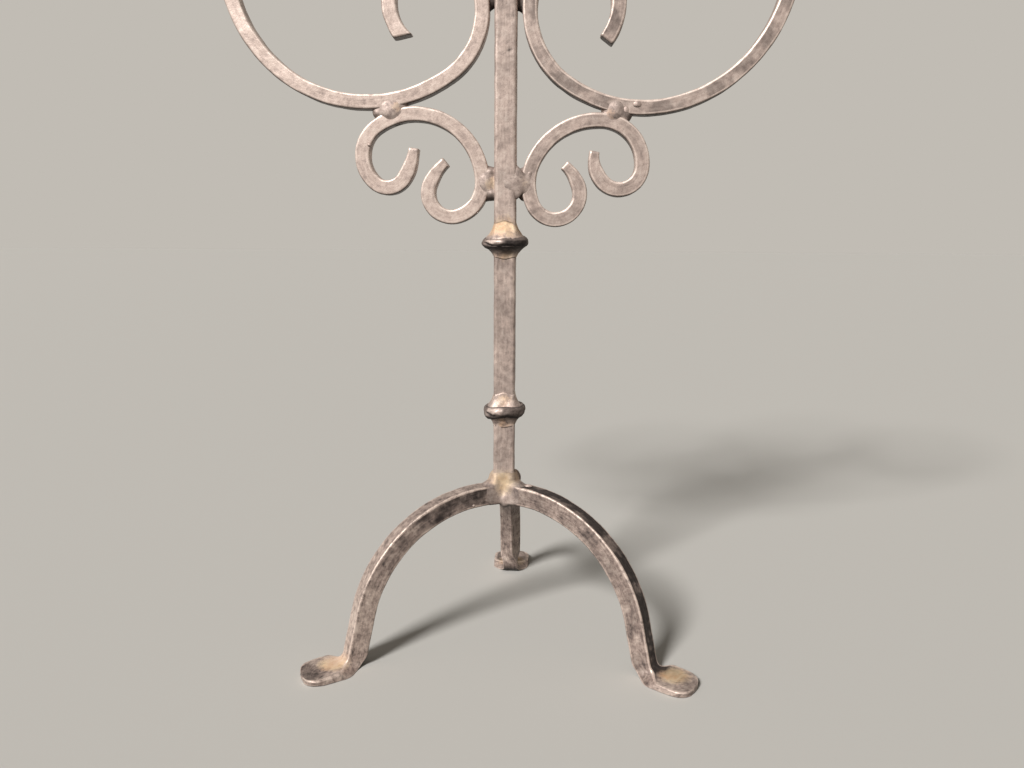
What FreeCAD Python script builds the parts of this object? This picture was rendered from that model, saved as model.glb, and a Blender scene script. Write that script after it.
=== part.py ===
"""Wrought-iron table candelabra: a tripod, a square stem, two pairs of scrolls and three candle cups.

Millimetres, +Z up. The origin is on the stem's axis at table level. The scrolls lie in the XZ plane,
the rear leg points along +Y, and "left" and "right" are as seen from -Y.
"""
import FreeCAD, Part
import math
import os

# Bar stock
STEM_BAR = 9.525
SCROLL_BAR = 6.35
ARM_BAR = 6.35
LEG_WIDTH = 7.9
LEG_DEPTH = 8.7
BAR_EDGE = 0.6

# Legs: a level run out of the stem, one bend, a straight shank and a foot hammered flat
LEG_RISE = 69.0
LEG_RUN = 11.0
LEG_BEND_RADIUS = 59.5
LEG_BEND_DEGREES = 77.5
HEEL_INSIDE_RADIUS = 4.0
HEEL_OUTSIDE_RADIUS = 7.0
FOOT_LENGTH = 23.3
FOOT_WIDTH = 20.0
FOOT_FLARE = 6.0
FOOT_CORNER_RADIUS = 7.5
FOOT_THICKNESS = 2.6
LEG_NAMES = ("rear", "left", "right")
REAR_LEG_DEGREES = 90.0

# Knops on the stem: the lower one above the legs, the upper one above the lower
LOWER_KNOP_RISE = 38.5
LOWER_KNOP_DIAMETER = 19.2
LOWER_KNOP_THICKNESS = 4.6
KNOP_SPACING = 76.0
UPPER_KNOP_DIAMETER = 20.6
UPPER_KNOP_THICKNESS = 5.0
KNOP_ROUND_SHARE = 0.4

# Welds: how far a bead laps onto a bar, stands proud of it, and tapers onto the stem
WELD_LAP = 1.6
WELD_PROUD = 0.9
KNOP_WELD_RISE = 6.5
KNOP_WELD_DROP = 4.5
KNOP_WELD_INSET = 1.6
KNOP_WELD_TOE = 0.8
HUB_WELD_RISE = 8.0
HUB_WELD_DIAMETER = 19.0
SCROLL_STEM_WELD_LENGTH = 12.6
ARM_STEM_WELD_LENGTH = 11.0
ARM_SCROLL_WELD_DIAMETER = 8.6

# Small scrolls, welded on above the upper knop. Each bends through arcs from beside the stem: up over the
# arch to its outer tip, and down round the lobe to its inner tip. The radii are shares of the arch radius.
SCROLL_ARCH_RADIUS = 30.0
SCROLL_RISE = 25.5
SCROLL_STEM_GAP = 2.2
SCROLL_ARCH_SHARES = {"left": (0.97, 0.50, 0.29, 1.05), "right": (0.73, 1.02, 0.61, 0.32, 0.49)}
SCROLL_ARCH_DEGREES = {"left": (126.0, 103.0, 100.0, 24.0), "right": (28.0, 67.0, 92.0, 127.0, 56.0)}
SCROLL_LOBE_SHARES = {"left": (0.49, 0.34, 0.80), "right": (0.73, 0.355, 0.73)}
SCROLL_LOBE_DEGREES = {"left": (75.0, 128.0, 28.0), "right": (25.0, 176.0, 28.0)}

# Arms, welded to the stem and the scrolls. Each bends up over its crown to its inner tip, and down and out
# through its sweep until it stands upright. The radii are shares of the sweep radius.
ARM_SWEEP_RADIUS = 60.0
ARM_STEM_GAP = 2.2
ARM_SCROLL_GAP = 0.8
ARM_TAIL = 9.0
ARM_CROWN_SHARES = {"left": (0.52, 0.325, 0.35), "right": (0.61, 0.31, 0.41)}
ARM_CROWN_DEGREES = {"left": (20.0, 181.0, 30.0), "right": (4.0, 182.0, 31.0)}
ARM_SWEEP_SHARES = {"left": (0.52, 1.06, 0.98), "right": (0.61, 0.96, 1.01)}
ARM_SWEEP_DEGREES = {"left": (55.0, 46.0, 79.0), "right": (55.0, 40.0, 85.0)}

# Drip pans, candle cups and the rivets that hold both on a bar's end; the centre light is the highest
CENTRE_LIGHT_LIFT = 33.8
PAN_RIM_DIAMETER = 50.0
PAN_FLOOR_DIAMETER = 38.0
PAN_DEPTH = 4.5
PAN_WALL = 1.2
CUP_BORE = 22.6
CUP_WALL = 1.5
CUP_HEIGHT = 30.0
CUP_FLOOR = 3.0
RIVET_DIAMETER = 3.6
RIVET_HEAD_DIAMETER = 8.0
RIVET_HEAD_THICKNESS = 1.5
RIVET_DEPTH = 9.0
RIVET_CLEARANCE = 0.05

CUT_OVERRUN = 5.0
SAMPLES_PER_ARC = 24
SETTLING_STEPS = 20

UPWARD_DEGREES = 90.0
HALF_TURN_DEGREES = 180.0
FULL_TURN_DEGREES = 360.0
SIDE_DEGREES = {"left": HALF_TURN_DEGREES, "right": 0.0}
X_AXIS = FreeCAD.Vector(1, 0, 0)
Z_AXIS = FreeCAD.Vector(0, 0, 1)
ORIGIN = FreeCAD.Vector(0, 0, 0)

lower_knop_height = LEG_RISE + LOWER_KNOP_RISE
upper_knop_height = lower_knop_height + KNOP_SPACING
scroll_weld_height = upper_knop_height + SCROLL_RISE


# Chains of tangent runs in the plane of a bar: (u, v) is distance out from the stem and height

def direction(heading):
    angle = math.radians(heading)
    return math.cos(angle), math.sin(angle)


def trace(start, heading, runs):
    """Each run as (point, heading, size, turn) at its start; a turn of zero is a straight run."""
    stations = []
    point = start
    for size, turn in runs:
        stations.append((point, heading, size, turn))
        point, heading = along(stations[-1], 1.0)
    return stations, point, heading


def along(station, share, offset=0.0):
    """Point and heading at a share of a run, moved sideways by offset, left positive."""
    (u, v), heading, size, turn = station
    forward = direction(heading)
    if turn == 0:
        u += forward[0] * size * share
        v += forward[1] * size * share
        end_heading = heading
    else:
        side = math.copysign(size, turn)
        end_heading = heading + turn * share
        end_forward = direction(end_heading)
        u += side * (end_forward[1] - forward[1])
        v -= side * (end_forward[0] - forward[0])
    end_forward = direction(end_heading)
    return (u - offset * end_forward[1], v + offset * end_forward[0]), end_heading


def place(point, y=0.0):
    return FreeCAD.Vector(point[0], y, point[1])


def line(start, end):
    return Part.LineSegment(place(start), place(end)).toShape()


def arc(start, middle, end):
    return Part.Arc(place(start), place(middle), place(end)).toShape()


def side_edges(stations, offset):
    """Edges along one side of a chain."""
    edges = []
    for station in stations:
        start, _ = along(station, 0.0, offset)
        middle, _ = along(station, 0.5, offset)
        end, _ = along(station, 1.0, offset)
        edges.append(line(start, end) if station[3] == 0 else arc(start, middle, end))
    return edges


def plate(edges, width):
    """Solid between a closed outline in the XZ plane and its copy, half the width to each side."""
    wire = Part.Wire(Part.__sortEdges__(edges))
    face = Part.Face(wire)
    face.translate(FreeCAD.Vector(0, -width / 2, 0))
    return face.extrude(FreeCAD.Vector(0, width, 0))


def lies_across(edge, ends, width):
    """Whether an edge's middle is level with one of the ends of a bar's centreline."""
    middle = edge.valueAt((edge.FirstParameter + edge.LastParameter) / 2)
    return any(math.dist((middle.x, middle.z), end) < width / 4 for end in ends)


def ease_long_edges(solid, width, radius, ends=()):
    """Rounds the edges that run along a bar's two flat sides, and leaves those across its ends."""
    flat_edges = [edge for edge in solid.Edges if edge.BoundBox.YLength < width / 2]
    return solid.makeFillet(radius, [edge for edge in flat_edges if not lies_across(edge, ends, width)])


def eased_bar(bar_solid, stations, bar):
    ends = (along(stations[0], 0.0)[0], along(stations[-1], 1.0)[0])
    return ease_long_edges(bar_solid, bar, BAR_EDGE, ends)


def bar_along(stations, bar):
    """Square bar bent along a chain, with square-cut ends."""
    left = side_edges(stations, bar / 2)
    right = side_edges(stations, -bar / 2)
    start_cap = line(along(stations[0], 0.0, bar / 2)[0], along(stations[0], 0.0, -bar / 2)[0])
    end_cap = line(along(stations[-1], 1.0, bar / 2)[0], along(stations[-1], 1.0, -bar / 2)[0])
    return plate(left + [end_cap] + right + [start_cap], bar).removeSplitter()


def arcs(shares, degrees, size):
    return [(share * size, turn) for share, turn in zip(shares, degrees)]


def two_way_chain(anchor, rising_arcs, falling_arcs):
    """Chain through an anchor beside the stem: up over the top one way, down and out the other."""
    _, tip, tip_heading = trace(anchor, UPWARD_DEGREES, [(radius, -turn) for radius, turn in rising_arcs])
    return rising_arcs[::-1] + falling_arcs, tip, tip_heading + HALF_TURN_DEGREES


def sample(stations):
    steps = range(SAMPLES_PER_ARC)
    return [along(station, step / SAMPLES_PER_ARC)[0] for station in stations for step in steps]


def closest_pair(points, others):
    pairs = ((math.dist(point, other), point, other) for point in points for other in others)
    return min(pairs)


def turned(shape, angle):
    """Copy of a shape turned about the stem's axis."""
    copy = shape.copy()
    copy.rotate(ORIGIN, Z_AXIS, angle)
    return copy


# Layout of the scrolls and arms beside the stem

def scroll_chain(side):
    anchor = (STEM_BAR / 2 + SCROLL_STEM_GAP + SCROLL_BAR / 2, scroll_weld_height)
    arch = arcs(SCROLL_ARCH_SHARES[side], SCROLL_ARCH_DEGREES[side], SCROLL_ARCH_RADIUS)
    lobe = arcs(SCROLL_LOBE_SHARES[side], SCROLL_LOBE_DEGREES[side], SCROLL_ARCH_RADIUS)
    runs, tip, heading = two_way_chain(anchor, arch, lobe)
    return trace(tip, heading, runs)[0]


def arm_chain(side, scroll_points):
    """Chain of an arm, let down beside the stem until it lies one weld gap above the scroll."""
    crown = arcs(ARM_CROWN_SHARES[side], ARM_CROWN_DEGREES[side], ARM_SWEEP_RADIUS)
    sweep = arcs(ARM_SWEEP_SHARES[side], ARM_SWEEP_DEGREES[side], ARM_SWEEP_RADIUS)
    beside_stem = STEM_BAR / 2 + ARM_STEM_GAP + ARM_BAR / 2
    wanted = (ARM_BAR + SCROLL_BAR) / 2 + ARM_SCROLL_GAP
    height = scroll_weld_height + SCROLL_ARCH_RADIUS + ARM_SWEEP_RADIUS
    for _ in range(SETTLING_STEPS):
        runs, tip, heading = two_way_chain((beside_stem, height), crown, sweep)
        stations = trace(tip, heading, runs + [(ARM_TAIL, 0.0)])[0]
        distance, arm_point, scroll_point = closest_pair(sample(stations), scroll_points)
        height += wanted - distance
    meeting = ((arm_point[0] + scroll_point[0]) / 2, (arm_point[1] + scroll_point[1]) / 2)
    return stations, (beside_stem, height), meeting


scroll_chains = {side: scroll_chain(side) for side in SIDE_DEGREES}
arm_layouts = {side: arm_chain(side, sample(scroll_chains[side])) for side in SIDE_DEGREES}
light_seats = {side: along(stations[-1], 1.0)[0] for side, (stations, _, _) in arm_layouts.items()}
stem_bottom = LEG_RISE - LEG_DEPTH / 2
stem_top = max(height for _, height in light_seats.values()) + CENTRE_LIGHT_LIFT
stem_length = stem_top - stem_bottom


# Stem, legs and knops

def stem_block():
    corner = FreeCAD.Vector(-STEM_BAR / 2, -STEM_BAR / 2, stem_bottom)
    return Part.makeBox(STEM_BAR, STEM_BAR, stem_length, corner)


def make_stem():
    block = stem_block()
    upright = [edge for edge in block.Edges if edge.BoundBox.ZLength > stem_length / 2]
    return block.makeFillet(BAR_EDGE, upright).cut(rivet_hole((0, stem_top)))


def tangent_bend(corner, heading, radius):
    """Start, middle and end of an arc that turns from a falling line to a level one outwards."""
    forward = direction(heading)
    half_turn = math.radians(-heading) / 2
    tangent = radius * math.tan(half_turn)
    inward = direction(heading / 2 + UPWARD_DEGREES)
    lift = radius / math.cos(half_turn) - radius
    start = (corner[0] - forward[0] * tangent, corner[1] - forward[1] * tangent)
    middle = (corner[0] + inward[0] * lift, corner[1] + inward[1] * lift)
    end = (corner[0] + tangent, corner[1])
    return start, middle, end


def meet_level(point, heading, level):
    """Where a falling line through a point crosses a level."""
    forward = direction(heading)
    return point[0] + (level - point[1]) * forward[0] / forward[1], level


leg_runs = ((LEG_RUN, 0.0), (LEG_BEND_RADIUS, -LEG_BEND_DEGREES))
leg_stations, shank_start, shank_heading = trace((0.0, LEG_RISE), 0.0, leg_runs)
heel = meet_level(shank_start, shank_heading, 0.0)[0]
foot_centre = heel + FOOT_LENGTH / 2
foot_tip = heel + FOOT_LENGTH


def make_foot():
    """Blunt tongue that spreads from the bar's width beyond the heel."""
    half = FOOT_WIDTH / 2
    inset = FOOT_CORNER_RADIUS - FOOT_CORNER_RADIUS * math.sqrt(0.5)
    corner_start = foot_tip - FOOT_CORNER_RADIUS
    end_half = half - FOOT_CORNER_RADIUS
    edges = [line((heel, -LEG_WIDTH / 2), (heel, LEG_WIDTH / 2))]
    edges.append(line((foot_tip, -end_half), (foot_tip, end_half)))
    for side in (1, -1):
        shoulder = (heel + FOOT_FLARE, side * half)
        edges.append(line((heel, side * LEG_WIDTH / 2), shoulder))
        edges.append(line(shoulder, (corner_start, side * half)))
        edges.append(arc((corner_start, side * half), (foot_tip - inset, side * (half - inset)),
                         (foot_tip, side * end_half)))
    face = Part.Face(Part.Wire(Part.__sortEdges__(edges)))
    face.rotate(ORIGIN, X_AXIS, UPWARD_DEGREES)
    return face.extrude(Z_AXIS * FOOT_THICKNESS)


def make_leg(azimuth):
    """One forged leg: the bent bar runs down its heel into the flattened foot."""
    top_end, _ = along(leg_stations[-1], 1.0, LEG_DEPTH / 2)
    bottom_end, _ = along(leg_stations[-1], 1.0, -LEG_DEPTH / 2)
    inside = tangent_bend(
        meet_level(top_end, shank_heading, FOOT_THICKNESS), shank_heading, HEEL_INSIDE_RADIUS)
    outside = tangent_bend(meet_level(bottom_end, shank_heading, 0.0), shank_heading, HEEL_OUTSIDE_RADIUS)
    foot_top = (foot_centre, FOOT_THICKNESS)
    foot_bottom = (foot_centre, 0.0)
    start_top, _ = along(leg_stations[0], 0.0, LEG_DEPTH / 2)
    start_bottom, _ = along(leg_stations[0], 0.0, -LEG_DEPTH / 2)
    edges = side_edges(leg_stations, LEG_DEPTH / 2)
    edges += [line(top_end, inside[0]), arc(*inside), line(inside[2], foot_top), line(foot_top, foot_bottom)]
    edges += [line(foot_bottom, outside[2]), arc(*outside), line(outside[0], bottom_end)]
    edges += side_edges(leg_stations, -LEG_DEPTH / 2)
    edges += [line(start_bottom, start_top)]
    bar = plate(edges, LEG_WIDTH)
    return turned(bar.fuse(make_foot()).removeSplitter(), azimuth).cut(stem_block())


def make_knop(height, diameter, thickness):
    ring = Part.makeCylinder(diameter / 2, thickness, FreeCAD.Vector(0, 0, height - thickness / 2))
    rims = [edge for edge in ring.Edges if edge.Closed]
    return ring.makeFillet(thickness * KNOP_ROUND_SHARE, rims).cut(stem_block())


def make_knop_weld(seat, diameter, rise):
    """Fillet of weld from a knop's face onto the stem; a negative rise hangs it below the knop."""
    foot = diameter / 2 - KNOP_WELD_INSET
    toe = STEM_BAR / 2 + KNOP_WELD_TOE
    bead = Part.makeCone(foot, toe, abs(rise), FreeCAD.Vector(0, 0, seat),
                         FreeCAD.Vector(0, 0, math.copysign(1, rise)))
    return bead.cut(stem_block())


def make_hub_weld(legs):
    """Collar of weld on the legs' shoulders, tapering onto the stem."""
    toe = STEM_BAR / 2 + KNOP_WELD_TOE
    rise = LEG_DEPTH / 2 + HUB_WELD_RISE
    bead = Part.makeCone(HUB_WELD_DIAMETER / 2, toe, rise, FreeCAD.Vector(0, 0, LEG_RISE))
    bead = bead.cut(stem_block())
    for leg in legs:
        bead = bead.cut(leg)
    return bead


# Welds between the scrolls, the arms and the stem

def make_bead(centre, width, length, depth):
    """Upright bead of weld with round ends, standing proud of a bar of the given depth."""
    radius = width / 2
    half = length / 2 - radius
    u, v = centre
    top = (u, v + half)
    bottom = (u, v - half)
    edges = [
        line((u - radius, bottom[1]), (u - radius, top[1])),
        arc((u - radius, top[1]), (u, top[1] + radius), (u + radius, top[1])),
        line((u + radius, top[1]), (u + radius, bottom[1])),
        arc((u + radius, bottom[1]), (u, bottom[1] - radius), (u - radius, bottom[1])),
    ]
    thickness = depth + WELD_PROUD + WELD_PROUD
    return ease_long_edges(plate(edges, thickness), thickness, WELD_PROUD)


def make_spot(centre, diameter, depth):
    """Round spot of weld through the plane of the scrolls."""
    thickness = depth + WELD_PROUD + WELD_PROUD
    spot = Part.makeCylinder(
        diameter / 2, thickness, place(centre, -thickness / 2), FreeCAD.Vector(0, 1, 0))
    rims = [edge for edge in spot.Edges if edge.Closed]
    return spot.makeFillet(WELD_PROUD, rims)


def stem_bead(gap, height, length, bar_depth):
    """Bead that fills the gap between the stem and an upright stretch of bar."""
    centre = (STEM_BAR / 2 + gap / 2, height)
    return make_bead(centre, gap + WELD_LAP + WELD_LAP, length, bar_depth)


# Drip pans, candle cups and rivets

def rivet_hole(seat):
    """Blind hole down into the end of a bar."""
    return Part.makeCylinder(
        RIVET_DIAMETER / 2 + RIVET_CLEARANCE, RIVET_DEPTH + CUT_OVERRUN,
        place((seat[0], seat[1] - RIVET_DEPTH)))


def make_pan(seat):
    """Shallow flared dish on the end of a bar."""
    floor = PAN_FLOOR_DIAMETER / 2
    rim = PAN_RIM_DIAMETER / 2
    body = Part.makeCone(floor, rim, PAN_DEPTH, place(seat))
    hollow = Part.makeCone(floor - PAN_WALL, rim - PAN_WALL, PAN_DEPTH, place((seat[0], seat[1] + PAN_WALL)))
    return body.cut(hollow).cut(rivet_hole(seat))


def make_cup(seat):
    """Short tube with a floor, open at the top, on the floor of a drip pan."""
    floor = seat[1] + PAN_WALL
    tube = Part.makeCylinder(CUP_BORE / 2 + CUP_WALL, CUP_HEIGHT, place((seat[0], floor)))
    bore = Part.makeCylinder(CUP_BORE / 2, CUP_HEIGHT, place((seat[0], floor + CUP_FLOOR)))
    recess = Part.makeCylinder(
        RIVET_HEAD_DIAMETER / 2 + RIVET_CLEARANCE, CUP_FLOOR,
        place((seat[0], floor + CUP_FLOOR - RIVET_HEAD_THICKNESS)))
    return tube.cut(bore).cut(recess).cut(rivet_hole(seat))


def make_rivet(seat):
    """Flush-headed rivet through the cup's and the pan's floor into the bar."""
    head_seat = seat[1] + PAN_WALL + CUP_FLOOR - RIVET_HEAD_THICKNESS
    head = Part.makeCylinder(
        RIVET_HEAD_DIAMETER / 2, RIVET_HEAD_THICKNESS, place((seat[0], head_seat)))
    shank_length = RIVET_DEPTH + head_seat - seat[1]
    shank = Part.makeCylinder(RIVET_DIAMETER / 2, shank_length, place((seat[0], seat[1] - RIVET_DEPTH)))
    return head.fuse(shank).removeSplitter()


def add_light(parts, name, seat, angle):
    """Pan, cup and rivet on the end of one bar."""
    parts["drip_pan_" + name] = turned(make_pan(seat), angle)
    parts["candle_cup_" + name] = turned(make_cup(seat), angle)
    parts["cup_rivet_" + name] = turned(make_rivet(seat), angle)


def add_knop(parts, name, height, diameter, thickness):
    """Knop with a fillet of weld above and below it."""
    parts[name] = make_knop(height, diameter, thickness)
    parts[name + "_weld_top"] = make_knop_weld(height + thickness / 2, diameter, KNOP_WELD_RISE)
    parts[name + "_weld_bottom"] = make_knop_weld(height - thickness / 2, diameter, -KNOP_WELD_DROP)


def add_side(parts, side, angle):
    """One side's scroll, arm, welds and light, modelled along +X and turned to its side."""
    scroll_stations = scroll_chains[side]
    arm_stations, arm_anchor, meeting = arm_layouts[side]
    scroll = bar_along(scroll_stations, SCROLL_BAR)
    arm = bar_along(arm_stations, ARM_BAR)
    seat = light_seats[side]
    stem = stem_block()
    scroll_bead = stem_bead(SCROLL_STEM_GAP, scroll_weld_height, SCROLL_STEM_WELD_LENGTH, SCROLL_BAR)
    arm_bead = stem_bead(ARM_STEM_GAP, arm_anchor[1], ARM_STEM_WELD_LENGTH, ARM_BAR)
    spot = make_spot(meeting, ARM_SCROLL_WELD_DIAMETER, max(ARM_BAR, SCROLL_BAR))
    pieces = {
        "scroll_" + side: eased_bar(scroll, scroll_stations, SCROLL_BAR),
        "arm_" + side: eased_bar(arm, arm_stations, ARM_BAR).cut(rivet_hole(seat)),
        "scroll_stem_weld_" + side: scroll_bead.cut(scroll).cut(stem),
        "arm_stem_weld_" + side: arm_bead.cut(arm).cut(stem),
        "arm_scroll_weld_" + side: spot.cut(arm).cut(scroll),
    }
    for name, piece in pieces.items():
        parts[name] = turned(piece, angle)
    add_light(parts, side, seat, angle)


def build():
    parts = {"stem": make_stem()}
    leg_spacing = FULL_TURN_DEGREES / len(LEG_NAMES)
    legs = {}
    for index, name in enumerate(LEG_NAMES):
        legs["leg_" + name] = make_leg(REAR_LEG_DEGREES + index * leg_spacing)
    parts.update(legs)
    parts["hub_weld"] = make_hub_weld(legs.values())
    add_knop(parts, "lower_knop", lower_knop_height, LOWER_KNOP_DIAMETER, LOWER_KNOP_THICKNESS)
    add_knop(parts, "upper_knop", upper_knop_height, UPPER_KNOP_DIAMETER, UPPER_KNOP_THICKNESS)
    for side, angle in SIDE_DEGREES.items():
        add_side(parts, side, angle)
    add_light(parts, "centre", (0, stem_top), 0.0)
    return parts


os.makedirs("parts", exist_ok=True)
for node, shape in build().items():
    shape.exportStep(os.path.join("parts", node + ".step"))
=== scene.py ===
"""Looks of a wrought-iron candelabra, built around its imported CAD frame. Lengths are in metres.

Every bar is a sweep of a hand-hammered section along the same chain of arcs as its solid. "Left" and "right"
are as seen from -Y, and u and v are distance out from the stem and height in the plane of a bar.
"""
import bmesh
import bpy
import dataclasses
import functools
import math
import numpy as np
from mathutils import Color, Matrix, Vector, noise
from types import SimpleNamespace


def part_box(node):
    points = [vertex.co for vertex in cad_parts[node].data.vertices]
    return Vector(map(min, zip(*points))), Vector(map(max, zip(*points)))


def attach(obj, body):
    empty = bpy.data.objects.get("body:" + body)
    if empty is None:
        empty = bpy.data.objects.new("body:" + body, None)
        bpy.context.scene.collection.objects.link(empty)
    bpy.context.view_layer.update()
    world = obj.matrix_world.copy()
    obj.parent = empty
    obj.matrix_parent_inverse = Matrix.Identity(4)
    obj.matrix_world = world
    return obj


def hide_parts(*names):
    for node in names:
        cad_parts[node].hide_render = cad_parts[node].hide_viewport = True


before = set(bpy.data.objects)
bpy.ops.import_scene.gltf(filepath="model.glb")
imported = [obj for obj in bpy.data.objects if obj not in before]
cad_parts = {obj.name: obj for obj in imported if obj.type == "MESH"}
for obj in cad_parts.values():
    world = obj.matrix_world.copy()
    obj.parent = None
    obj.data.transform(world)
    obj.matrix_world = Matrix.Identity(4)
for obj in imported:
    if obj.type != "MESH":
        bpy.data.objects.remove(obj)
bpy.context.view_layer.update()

MM = 0.001
BODY = "root"
UP = Vector((0.0, 0.0, 1.0))
SIDE_DEGREES = {"left": 180.0, "right": 0.0}
LEG_DEGREES = {"rear": 90.0, "left": 210.0, "right": 330.0}

# Camera: the photograph's viewpoint, and its turns from looking straight down
CAMERA_PLACE = Vector((19.94, -373.99, 184.27)) * MM
CAMERA_TURNS = ((2.53, "Z"), (80.24, "X"), (0.37, "Z"))
CAMERA_LENS = 29.26
CAMERA_SENSOR = 36.0
CAMERA_NEAR = 10.0 * MM

# Scrolls and arms as arcs, in shares of a size and degrees of turn: up from beside the stem to one tip, and
# down to the other, where an arm has an upright tail
SCROLL_SIZE = 30.0 * MM
ARM_SIZE = 60.0 * MM
ARM_TAIL = 9.0 * MM
RISING_ARCS = {
    "scroll_left": ((0.97, 126.0), (0.50, 103.0), (0.29, 100.0), (1.05, 24.0)),
    "scroll_right": ((0.73, 28.0), (1.02, 67.0), (0.61, 92.0), (0.32, 127.0), (0.49, 56.0)),
    "arm_left": ((0.52, 20.0), (0.325, 181.0), (0.35, 30.0)),
    "arm_right": ((0.61, 4.0), (0.31, 182.0), (0.41, 31.0))}
FALLING_ARCS = {
    "scroll_left": ((0.49, 75.0), (0.34, 128.0), (0.80, 28.0)),
    "scroll_right": ((0.73, 25.0), (0.355, 176.0), (0.73, 28.0)),
    "arm_left": ((0.52, 55.0), (1.06, 46.0), (0.98, 79.0)),
    "arm_right": ((0.61, 55.0), (0.96, 40.0), (1.01, 85.0))}

# Legs: level run, bend, straight shank, heel and flattened foot
LEG_WIDTH = 7.9 * MM
LEG_DEPTH = 8.7 * MM
LEG_RUN = 11.0 * MM
LEG_BEND_RADIUS = 59.5 * MM
LEG_BEND_DEGREES = 77.5
HEEL_INSIDE_RADIUS = 4.0 * MM
HEEL_OUTSIDE_RADIUS = 7.0 * MM
HEEL_FLARE_HEIGHT = 13.0 * MM
FOOT_LENGTH = 23.3 * MM
FOOT_FLARE = 7.5 * MM
FOOT_CORNER_RADIUS = 7.5 * MM
FOOT_THICKNESS = 2.6 * MM
FOOT_ROUGHNESS = 3.0
FOOT_RING_DENSITY = 1.5
FOOT_TOE_DEGREES = {"rear": 0.0, "left": 9.0, "right": -9.0}
LEG_TWIST_DEGREES = {"rear": -32.0, "left": 0.0, "right": 0.0}
TWIST_START = 5.0 * MM
TWIST_LENGTH = 9.0 * MM

# Hand work: cells and depths of the hammer's dents and of the scale's pits, and corners worn round
RING_SPACING = 1.0 * MM
JOIN_DISTANCE = 0.001 * MM
HAMMERING = (7.0 * MM, 0.13 * MM, 2.2 * MM, 0.05 * MM)
SEED_PRIMES = (97, 89, 83)
SEED_SCALE = 0.1
CORNER_RADIUS = 0.75 * MM
STEM_CORNER_RADIUS = 1.15 * MM
LEG_CORNER_RADIUS = 0.55 * MM
CORNER_STEPS = 3
CORNER_SIGNS = ((1, 1), (-1, 1), (-1, -1), (1, -1))
CORNER_WEAR = 0.45
CORNER_WEAR_CELL = 9.0 * MM
CORNER_WEAR_STEP = 7.3
FLAT_SHARES = (0.07, 0.3, 0.5, 0.7, 0.93)
FACE_SHARE = 0.7
STEM_WORN = 0.06
STEM_PIT = Vector((1.4, -4.8, 263.6)) * MM
STEM_PIT_REACH = 1.6 * MM
STEM_PIT_DEPTH = 0.5 * MM
TIP_CHAMFER = 0.45 * MM
SCROLL_TIP_LENGTH = 11.0 * MM
SCROLL_TIP_TAPER = 0.3
ARM_TIP_LENGTH = 14.0 * MM
ARM_TIP_SLANT_DEGREES = {"left": 38.0, "right": 0.0}

# Grime and painted shade on the outer face and on the other faces of a bar: 1 covers a face in patches, more
# covers it evenly, and less than 0 lightens it as painted light
GRIME_LEAST = 0.2
GRIME_PATCHES = (9.0 * MM, 0.9, 2.6 * MM, 0.6)
# Painted light and shade: the left arm and scroll are lightened and the right ones darkened, as the light
# falls from the left
BAR_GRIME_AND_SHADE = {
    "arm_left": (-0.35, -0.35), "arm_right": (0.5, 0.62),
    "scroll_left": (-0.35, -0.35), "scroll_right": (0.25, 0.36), "stem": (0.34, 0.46)}
STEM_TOP_GRIME = (0.1, 0.4)
STEM_GRIME_EASE = 40.0 * MM
# Grime and painted light and shade on the legs: the right leg's outer face is darkened as painted shade, and
# the left leg's lower faces lightened as painted light
LEG_TOP_GRIME_AND_SHADE = {"rear": (0.9, 0.4), "left": (0.3, 1.0), "right": (3.0, 0.56)}
LEG_LOW_GRIME_AND_SHADE = {"rear": (0.8, 0.25), "left": (-0.9, -0.7), "right": (2.8, 0.4)}
LEG_GRIME_AND_SHADE_SLOPE = 1.5
LEG_GRIME_AND_SHADE_START = 0.4
FOOT_GRIME = {"rear": (0.75, 0.3), "left": (0.75, 0.3), "right": (0.4, 0.3)}
FOOT_GRIME_START = {"rear": FOOT_FLARE, "left": FOOT_FLARE, "right": 0.0}


# Places from the frame

@functools.cache
def box(node):
    """Low and high corner of a CAD node."""
    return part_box(node)


def extent(node):
    low, high = box(node)
    return high - low


def middle(node):
    low, high = box(node)
    return (low + high) / 2


stem_bar = extent("stem").x
leg_start = stem_bar / 4
leg_rise = box("leg_rear")[1].z - LEG_DEPTH / 2
foot_half_width = extent("leg_rear").x / 2
foot_tip = box("leg_rear")[1].y
heel = foot_tip - FOOT_LENGTH


# Chains of arcs in the plane of a bar

def direction(heading):
    return math.cos(heading), math.sin(heading)


def shares(steps):
    """Equal steps up to 1."""
    return [step / steps for step in range(1, steps + 1)]


def trace(start, heading, runs):
    """Points (u, v, heading) along tangent arcs (radius, radians); no turn means a straight run."""
    u, v = start
    points = [(u, v, heading)]
    for size, turn in runs:
        length = size if turn == 0 else size * abs(turn)
        forward = direction(heading)
        side = math.copysign(size, turn)
        for share in shares(max(2, round(length / RING_SPACING))):
            if turn == 0:
                points.append((u + forward[0] * size * share, v + forward[1] * size * share, heading))
                continue
            now = direction(heading + turn * share)
            points.append((u + side * (now[1] - forward[1]), v - side * (now[0] - forward[0]),
                           heading + turn * share))
        u, v, heading = points[-1]
    return points


def arcs(turns, size, sense):
    return [(share * size, sense * math.radians(degrees)) for share, degrees in turns]


def bar_chain(bar, size, tail):
    """Points from the upper tip of a scroll or an arm, down past its weld to the stem, to its lower tip."""
    kind, side = bar.split("_")
    low, high = box(bar)
    beside_stem = min(abs(low.x), abs(high.x)) + extent(bar).y / 2
    anchor = (beside_stem, middle(kind + "_stem_weld_" + side).z)
    up = trace(anchor, math.pi / 2, arcs(RISING_ARCS[bar], size, -1))
    down = trace(anchor, -math.pi / 2, arcs(FALLING_ARCS[bar], size, 1) + tail)
    return [(u, v, heading + math.pi) for u, v, heading in up[:0:-1]] + down


# Surfaces

def between(first, second, share):
    return tuple(start + (end - start) * share for start, end in zip(first, second))


def smooth_step(value):
    value = min(max(value, 0.0), 1.0)
    return value * value * (3 - 2 * value)


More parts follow.
